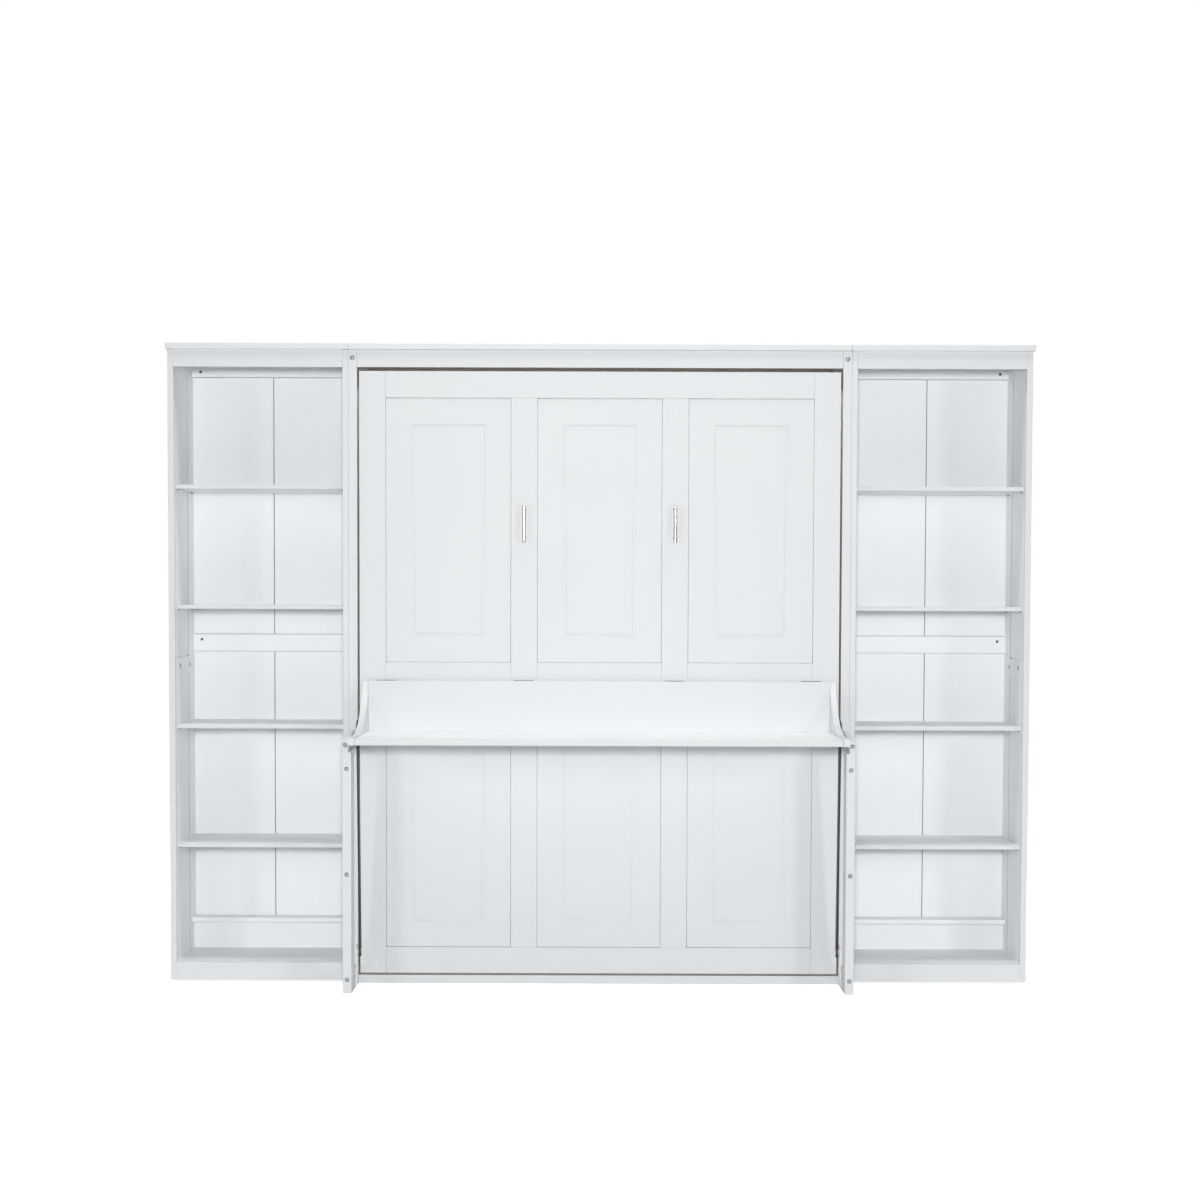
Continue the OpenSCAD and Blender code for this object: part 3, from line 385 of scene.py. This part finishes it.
shine = add(tree, "ShaderNodeBsdfPrincipled", {"IOR": 1.46, "Specular IOR Level": 0.3},
            Base_Color=tint.outputs[mixed], Roughness=sheen.outputs["Result"])
add(tree, "ShaderNodeOutputMaterial", {}, Surface=shine.outputs[0])


def turned(profile, start, along, n=32):
    """A turned piece, in metres.  A profile of (distance s, radius r) pairs is carried round the
    line from start in the direction along: point(t, a) = start + along * s(t) + r(t) * rim(a)."""
    s, r = np.array(profile, float).T
    along = np.array(along, float)
    along = along / np.linalg.norm(along)
    u = np.cross(along, (0.0, 1.0, 0.0) if abs(along[1]) < 0.9 else (1.0, 0.0, 0.0))
    u = u / np.linalg.norm(u)
    v = np.cross(along, u)
    a = np.linspace(0, 2 * math.pi, n, endpoint=False)
    rim = np.cos(a)[:, None] * u + np.sin(a)[:, None] * v
    points = np.array(start) + along * s[:, None, None] + r[:, None, None] * rim
    ds, dr = np.gradient(s), np.gradient(r)
    size = np.hypot(ds, dr) + 1e-12
    ways = rim[None] * (ds / size)[:, None, None] - along * (dr / size)[:, None, None]
    rows = len(s)
    i, j = np.meshgrid(np.arange(rows - 1), np.arange(n), indexing="ij")
    j2 = (j + 1) % n
    faces = np.stack([i * n + j, i * n + j2, (i + 1) * n + j2, (i + 1) * n + j], -1)
    faces = faces.reshape(-1, 4).tolist()
    faces.append(tuple(range(n))[::-1])
    faces.append(tuple((rows - 1) * n + k for k in range(n)))
    return points.reshape(-1, 3), faces, ways.reshape(-1, 3)


# In metres: the tall boards' face and thickness and half their seam, the
# thickness with the rear layer, and half the width of the brown strip behind the
# seam, which is painted shade.
tall_face, tall_t, half_seam = cabinet_front + 0.395, 0.0038, 0.0013
back_t, half_shade_strip = 0.006, 0.020
# The heights between which the rails part the tall boards, and the ledge's top
# and thickness.
mid_rail_low, mid_rail_top, top_rail_low, ledge, ledge_t = 1.134, 1.194, 2.108, 0.183, 0.016
# The low board's face and rear behind the ledge's edge, and the gap above it,
# which a brown strip fills as the painted shadow under the ledge.
low_face, low_rear, ledge_shadow_gap = 0.035, 0.041, 0.003
# The wall holes: how far from the ends and how high they are, where the brown
# disc in each lies as painted shade, and the disc's profile.
hole_in, hole_levels, shade_disc_y = 0.030, (1.176, 2.126), tall_face - 0.0164
shade_disc = [(0, 0.005), (0.0016, 0.005), (0.0018, 0.0046)]

for side in ("left", "right"):
    low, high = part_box(side + "_unit_back")
    middle, under_ledge = (low[0] + high[0]) / 2, ledge - ledge_t
    boards = [eased_board((x0, tall_face, z0), (x1, tall_face + tall_t, z1), 0.0004)
              for x0, x1 in ((low[0], middle - half_seam), (middle + half_seam, high[0]))
              for z0, z1 in ((ledge, mid_rail_low - half_seam),
                             (mid_rail_top + half_seam, top_rail_low - half_seam))]
    boards += [eased_board((low[0], low[1], under_ledge), (high[0], tall_face + back_t, ledge),
                           0.0015),
               eased_board((low[0], low[1] + low_face, low[2]),
                           (high[0], low[1] + low_rear, under_ledge - ledge_shadow_gap), 0.0005)]
    # The bare rear layer, which shows as painted shade through the partings, and the brown strips
    # behind the seam and under the ledge and the brown discs in the wall holes, which are painted
    # shade too.
    bare_and_shade = [eased_board((low[0], tall_face + 0.004, ledge),
                        (high[0], tall_face + back_t, high[2]), 0.0004),
            eased_board((middle - half_shade_strip, tall_face + back_t, ledge),
                        (middle + half_shade_strip, high[1], high[2]), 0.0004),
            eased_board((low[0], low[1] + low_face + 0.001, under_ledge - 2 * ledge_shadow_gap),
                        (high[0], low[1] + low_rear - 0.001, under_ledge), 0.0004)]
    bare_and_shade += [turned(shade_disc, (x, shade_disc_y, z), (0, -1, 0), 16)
             for x in (low[0] + hole_in, high[0] - hole_in) for z in hole_levels]
    made(side + "_unit_backboard", "cabinet", boards, grey_foil, [side + "_unit_back"],
         more=[(bare_and_shade, hardboard_and_shade)])
    coat(grey_foil, side + "_unit_back_rails")

# ---------------------------------------------------------------------------
# Side frames.  Posts, uprights, arms and feet of lacquered pine, drawn together
# by long bolts into cross dowels.
# ---------------------------------------------------------------------------
coat(white_lacquer, "frame_post_left", "frame_post_right", "frame_arm_left", "frame_arm_right",
     "frame_foot_left", "frame_foot_right", "frame_uprights")

# ---------------------------------------------------------------------------
# Bed front.  A frame of 90 mm stiles and rails of lacquered pine, glued up, the
# inner stiles running through, with six flat MDF panels, each with a shallow
# rectangle routed into it.
# ---------------------------------------------------------------------------
# In millimetres: half the front's width, the width of stiles and rails, the
# middles of the inner stiles, and the heights of the desk rail.
half_front, rail_w, inner_x, desk_rail_low = 820.0, 90.0, 257.5, 1016.0
desk_rail_top, half_opening = desk_rail_low + rail_w, half_front - rail_w


def bed_board(x0, x1, z0, z1):
    """A stile or rail of the bed front, 22 mm thick, given in millimetres."""
    return eased_board((x0 / 1000, cabinet_front, z0 / 1000),
                       (x1 / 1000, cabinet_front + 0.022, z1 / 1000), 0.0012)


bed_foot, bed_head = (1000 * float(corner[2]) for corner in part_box("bed_stiles"))
stiles = [bed_board(-half_front, -half_opening, bed_foot, bed_head),
          bed_board(half_opening, half_front, bed_foot, bed_head)]
stiles += [bed_board(x - rail_w / 2, x + rail_w / 2, bed_foot + rail_w, bed_head - rail_w)
           for x in (-inner_x, inner_x)]
made("bed_front_stiles", "bed", stiles, white_lacquer, ["bed_stiles"])
panel_spans = ((-half_opening, -inner_x - rail_w / 2), (rail_w / 2 - inner_x, inner_x - rail_w / 2),
               (inner_x + rail_w / 2, half_opening))
rails = [bed_board(-half_opening, half_opening, z, z + rail_w)
         for z in (bed_foot, bed_head - rail_w)]
rails += [bed_board(x0, x1, desk_rail_low, desk_rail_top) for x0, x1 in panel_spans]
made("bed_front_rails", "bed", rails, white_lacquer, ["bed_cross_rails"])


def panel(x0, x1, z0, z1):
    """A routed panel, in millimetres.  Its face is a profile carried round nested rectangles: for
    each distance d from the panel's edge, one rectangle at the depth y, with the normals of slope.
    The profile runs from the back round a rebate, which leaves the 1.2 mm seam, to the face, and
    across the flat-bottomed groove."""
    set_back, depth = 1.5, 1.4
    groove = np.array([89.8, 90.0, 91.0, 91.3, 98.7, 99.0, 100.0, 100.2])
    sunk = set_back + depth * np.array([0, 0.15, 0.85, 1, 1, 0.85, 0.15, 0])
    d = np.concatenate([[0.5, 0, 0, 1.2, 1.2, 1.7], groove])
    y = np.concatenate([[18, 17.5, 8, 8, 2, set_back], sunk])
    slope = [(0, 1), (1, 0), (0.7, -0.7), (0.7, -0.7), (1, 0), (0, -1),
             (0, -1), (-1, -1), (-1, -1), (0, -1), (0, -1), (1, -1), (1, -1), (0, -1)]
    slope = np.array(slope, float) / np.linalg.norm(slope, axis=1)[:, None]
    corners = np.array([(-1, -1), (1, -1), (1, 1), (-1, 1)], float)
    centre = np.array([(x0 + x1) / 2, (z0 + z1) / 2])
    half = np.array([(x1 - x0) / 2, (z1 - z0) / 2])
    flat = centre + corners[None] * (half[None, None] - d[:, None, None])
    points = np.stack([flat[..., 0], np.repeat(y[:, None], 4, 1), flat[..., 1]], -1).reshape(-1, 3)
    out = corners / math.sqrt(2)
    ways = np.stack([out[None, :, 0] * slope[:, None, 0], np.repeat(slope[:, 1:2], 4, 1),
                     out[None, :, 1] * slope[:, None, 0]], -1).reshape(-1, 3)
    faces = []
    for k in range(0, 4 * (len(d) - 1), 4):
        faces += [(k + c, k + (c + 1) % 4, k + 4 + (c + 1) % 4, k + 4 + c) for c in range(4)]
    n = 4 * (len(d) - 1)
    faces.append((n, n + 1, n + 2, n + 3))
    faces.append((3, 2, 1, 0))
    points = points / 1000 + np.array([0, cabinet_front, 0])
    return points, faces, ways


panels = []
for x0, x1 in panel_spans:
    panels += [panel(x0, x1, bed_foot + rail_w, desk_rail_low),
               panel(x0, x1, desk_rail_top, bed_head - rail_w)]
made("bed_front_panels", "bed", panels, white_lacquer, ["bed_panels"])

# ---------------------------------------------------------------------------
# Handles.  Solid 12 mm brass rod with eased ends on two turned posts, each on
# a small rose, nickel plated and brushed to a satin.
# ---------------------------------------------------------------------------
# Satin nickel: a warm grey metal whose brushing, drawn 0.4 mm fine, runs round
# the bar.
satin_nickel, tree = finish_of("satin_nickel_plate")
place = add(tree, "ShaderNodeTexCoord").outputs["Object"]
lines = add(tree, "ShaderNodeMapping", {"Scale": (300.0, 300.0, 2500.0)}, Vector=place)
brushing = add(tree, "ShaderNodeTexNoise", {"Scale": 1.0, "Detail": 2.0}, Vector=lines.outputs[0])
sheen = add(tree, "ShaderNodeMapRange", {"To Min": 0.24, "To Max": 0.38},
            Value=brushing.outputs["Fac"])
shine = add(tree, "ShaderNodeBsdfPrincipled", {"Base Color": linear("#C8C7C3"), "Metallic": 1.0},
            Roughness=sheen.outputs["Result"])
add(tree, "ShaderNodeOutputMaterial", {}, Surface=shine.outputs[0])

# In metres: the bar's radius, length and eased corner, how far it stands off, the
# height of its foot, and the heights of the posts, 96 mm apart.
bar_r, bar_l, ease, stand_off = 0.006, 0.126, 0.0018, 0.026
bar_foot, post_levels = 1.516, (1.531, 1.627)
bar = [(0, bar_r / 2)] + [(ease - ease * math.cos(t), bar_r - ease + ease * math.sin(t))
                          for t in np.linspace(0, math.pi / 2, 6)]
bar += [(bar_l - s, r) for s, r in reversed(bar)]
# A post's profile starts with its rose and ends inside the bar.
post = [(0, 0.0075), (0.0012, 0.0075), (0.002, 0.0068), (0.0026, 0.0050), (0.004, 0.0045),
        (0.022, 0.0045)]
parts = []
for x in (-inner_x / 1000, inner_x / 1000):
    parts.append(turned(bar, (x, cabinet_front - stand_off, bar_foot), (0, 0, 1)))
    parts += [turned(post, (x, cabinet_front, z), (0, -1, 0)) for z in post_levels]
made("handle_pair", "bed", parts, satin_nickel, ["handles"])

# ---------------------------------------------------------------------------
# Desk.  A 19 mm top, lipped along its front, and a back between two shaped ends,
# all lacquered MDF, hung on four steel butt hinges.
# ---------------------------------------------------------------------------
desk_lip = 0.020
low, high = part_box("desk_top")
front, end = low[1] - cabinet_front, high[1] - cabinet_front
# The top board carries the lighter lacquer, painted light, and its lipping the darker one.
board = slab(low[0], high[0], front + desk_lip, end, low[2], high[2], 0.001)
lipping = slab(low[0], high[0], front, front + desk_lip, low[2], high[2], 0.003)
made("desk_top_board", "desk", [board], lightened_lacquer, ["desk_top"],
     more=[([lipping], white_lacquer)])
made("desk_back_board", "desk", [cad_board("desk_back")], white_lacquer, ["desk_back"])
coat(white_lacquer, "desk_end_left", "desk_end_right")

# ---------------------------------------------------------------------------
# Fittings.  Bolts, barrel nuts, shelf pins and bushes of mild steel, turned or
# headed and zinc plated; the hinges are pressed steel, drawn dark grey.
# ---------------------------------------------------------------------------
# Bright zinc: a cool grey metal with a faint blotchy bloom about 5 mm wide.
zinc, tree = finish_of("zinc_plated_steel")
place = add(tree, "ShaderNodeTexCoord").outputs["Object"]
bloom = add(tree, "ShaderNodeTexNoise", {"Scale": 220.0, "Detail": 4.0}, Vector=place)
bloom = bloom.outputs["Fac"]
tint = add(tree, "ShaderNodeMix", {"data_type": "RGBA"}, Factor=bloom)
tint.inputs[colour_a].default_value = linear("#8C9499")
tint.inputs[colour_b].default_value = linear("#B4BABD")
sheen = add(tree, "ShaderNodeMapRange", {"To Min": 0.28, "To Max": 0.48}, Value=bloom)
shine = add(tree, "ShaderNodeBsdfPrincipled", {"Metallic": 1.0}, Base_Color=tint.outputs[mixed],
            Roughness=sheen.outputs["Result"])
add(tree, "ShaderNodeOutputMaterial", {}, Surface=shine.outputs[0])
coat(zinc, "frame_bolts", "barrel_nuts", "unit_side_bolts", "shelf_pins", "bed_pivots",
     "desk_link_bolts")

# Hinge steel: dark grey, no glints, in patches about 6 mm wide.
dull_steel, tree = finish_of("dark_grey_hinge_steel")
place = add(tree, "ShaderNodeTexCoord").outputs["Object"]
hinge_patches = add(tree, "ShaderNodeTexNoise", {"Scale": 160.0, "Detail": 3.0}, Vector=place)
hinge_patches = hinge_patches.outputs["Fac"]
tint = add(tree, "ShaderNodeMix", {"data_type": "RGBA"}, Factor=hinge_patches)
tint.inputs[colour_a].default_value = linear("#3C3F42")
tint.inputs[colour_b].default_value = linear("#54585B")
sheen = add(tree, "ShaderNodeMapRange", {"To Min": 0.5, "To Max": 0.65}, Value=hinge_patches)
shine = add(tree, "ShaderNodeBsdfPrincipled", {"Metallic": 1.0}, Base_Color=tint.outputs[mixed],
            Roughness=sheen.outputs["Result"])
add(tree, "ShaderNodeOutputMaterial", {}, Surface=shine.outputs[0])
coat(dull_steel, "bed_hinge_leaves", "desk_hinge_leaves", "desk_hinge_pins")

# ---------------------------------------------------------------------------
# Mechanism.  Link bars, pivot plates and strut cylinders of steel with a satin
# black powder coat; the link brackets, which show beside the feet, are coated
# white; the strut rods are ground and polished.
# ---------------------------------------------------------------------------
# Black powder coat: near black with a fine grain of about a millimetre.
black_coat, tree = finish_of("black_powder_coat")
place = add(tree, "ShaderNodeTexCoord").outputs["Object"]
grain = add(tree, "ShaderNodeTexNoise", {"Scale": 900.0, "Detail": 2.0}, Vector=place)
grain = grain.outputs["Fac"]
bump = add(tree, "ShaderNodeBump", {"Strength": 0.15, "Distance": 0.0003}, Height=grain)
sheen = add(tree, "ShaderNodeMapRange", {"To Min": 0.42, "To Max": 0.58}, Value=grain)
shine = add(tree, "ShaderNodeBsdfPrincipled", {"Base Color": linear("#26282A"), "IOR": 1.5},
            Roughness=sheen.outputs["Result"], Normal=bump.outputs["Normal"])
add(tree, "ShaderNodeOutputMaterial", {}, Surface=shine.outputs[0])
coat(black_coat, "pivot_brackets", "link_bar_left", "link_bar_right",
     "strut_cylinder_left", "strut_cylinder_right")

# White powder coat: the lacquer's colour with an orange-peel surface, whose
# dimples of about 2 mm are at their real size.
white_coat, tree = finish_of("white_powder_coat")
place = add(tree, "ShaderNodeTexCoord").outputs["Object"]
peel = add(tree, "ShaderNodeTexNoise", {"Scale": 500.0, "Detail": 1.0}, Vector=place)
peel = peel.outputs["Fac"]
tint = add(tree, "ShaderNodeMix", {"data_type": "RGBA"}, Factor=peel)
tint.inputs[colour_a].default_value = linear("#E1E3E4")
tint.inputs[colour_b].default_value = linear("#E7E9E9")
bump = add(tree, "ShaderNodeBump", {"Strength": 0.15, "Distance": 0.0004}, Height=peel)
shine = add(tree, "ShaderNodeBsdfPrincipled", {"Roughness": 0.4, "IOR": 1.5},
            Base_Color=tint.outputs[mixed], Normal=bump.outputs["Normal"])
add(tree, "ShaderNodeOutputMaterial", {}, Surface=shine.outputs[0])
coat(white_coat, "link_brackets")

# Ground steel: a bright mirror broken by fine rings, drawn a third of a
# millimetre apart.
ground_steel, tree = finish_of("ground_steel")
place = add(tree, "ShaderNodeTexCoord").outputs["Object"]
rings = add(tree, "ShaderNodeMapping", {"Scale": (80.0, 80.0, 3000.0)}, Vector=place)
grind = add(tree, "ShaderNodeTexNoise", {"Scale": 1.0, "Detail": 1.0}, Vector=rings.outputs[0])
sheen = add(tree, "ShaderNodeMapRange", {"To Min": 0.12, "To Max": 0.22},
            Value=grind.outputs["Fac"])
shine = add(tree, "ShaderNodeBsdfPrincipled", {"Base Color": linear("#C6C9CC"), "Metallic": 1.0},
            Roughness=sheen.outputs["Result"])
add(tree, "ShaderNodeOutputMaterial", {}, Surface=shine.outputs[0])
coat(ground_steel, "strut_rod_left", "strut_rod_right")


# ---------------------------------------------------------------------------
# Bed frame.  Rails, centre beam and slats of planed beech, screwed together and
# oiled: pale pink brown with fine lengthwise grain and short darker flecks.
# ---------------------------------------------------------------------------
def beech(name, along):
    """Oiled beech whose grain runs along the given axis, 0 for x or 2 for z: bands 17 mm wide and
    400 mm long, and flecks 1 mm wide and 8 mm long."""
    band, fleck = [60.0, 60.0, 60.0], [900.0, 900.0, 900.0]
    band[along], fleck[along] = 2.5, 120.0
    material, tree = finish_of(name)
    place = add(tree, "ShaderNodeTexCoord").outputs["Object"]
    band = add(tree, "ShaderNodeMapping", {"Scale": tuple(band)}, Vector=place)
    grain = add(tree, "ShaderNodeTexNoise", {"Scale": 1.0, "Detail": 6.0, "Distortion": 0.6},
                Vector=band.outputs[0]).outputs["Fac"]
    dash = add(tree, "ShaderNodeMapping", {"Scale": tuple(fleck)}, Vector=place)
    fleck = add(tree, "ShaderNodeTexNoise", {"Scale": 1.0, "Detail": 1.0}, Vector=dash.outputs[0])
    ramp = add(tree, "ShaderNodeValToRGB", {}, Fac=grain)
    ramp.color_ramp.elements[0].position = 0.3
    ramp.color_ramp.elements[0].color = linear("#C49A6C")
    ramp.color_ramp.elements[1].position = 0.7
    ramp.color_ramp.elements[1].color = linear("#DDBB8E")
    share = add(tree, "ShaderNodeMapRange", {"From Min": 0.56, "From Max": 0.72, "To Max": 0.35},
                Value=fleck.outputs["Fac"])
    tint = add(tree, "ShaderNodeMix", {"data_type": "RGBA"}, Factor=share.outputs["Result"])
    tree.links.new(ramp.outputs["Color"], tint.inputs[colour_a])
    tint.inputs[colour_b].default_value = linear("#9E7448")
    bump = add(tree, "ShaderNodeBump", {"Strength": 0.12, "Distance": 0.0005}, Height=grain)
    sheen = add(tree, "ShaderNodeMapRange", {"To Min": 0.45, "To Max": 0.62}, Value=grain)
    shine = add(tree, "ShaderNodeBsdfPrincipled", {"IOR": 1.5, "Specular IOR Level": 0.35},
                Base_Color=tint.outputs[mixed], Roughness=sheen.outputs["Result"],
                Normal=bump.outputs["Normal"])
    add(tree, "ShaderNodeOutputMaterial", {}, Surface=shine.outputs[0])
    return material


coat(beech("oiled_beech_slats", 0), "bed_slats", "bed_end_rails")
coat(beech("oiled_beech_rails", 2), "bed_side_rails", "bed_centre_beam")

# ---------------------------------------------------------------------------
# Glides.  Discs moulded in black polyethylene, nailed under the units and desk:
# a matt near black with the mould's fine grain, drawn 1.4 mm coarse to show.
# ---------------------------------------------------------------------------
moulded, tree = finish_of("moulded_polyethylene")
place = add(tree, "ShaderNodeTexCoord").outputs["Object"]
skin = add(tree, "ShaderNodeTexNoise", {"Scale": 700.0, "Detail": 2.0}, Vector=place)
skin = skin.outputs["Fac"]
bump = add(tree, "ShaderNodeBump", {"Strength": 0.2, "Distance": 0.0002}, Height=skin)
sheen = add(tree, "ShaderNodeMapRange", {"To Min": 0.5, "To Max": 0.65}, Value=skin)
shine = add(tree, "ShaderNodeBsdfPrincipled", {"Base Color": linear("#1D1E1F"), "IOR": 1.5},
            Roughness=sheen.outputs["Result"], Normal=bump.outputs["Normal"])
add(tree, "ShaderNodeOutputMaterial", {}, Surface=shine.outputs[0])
coat(moulded, "unit_glides", "desk_glides")
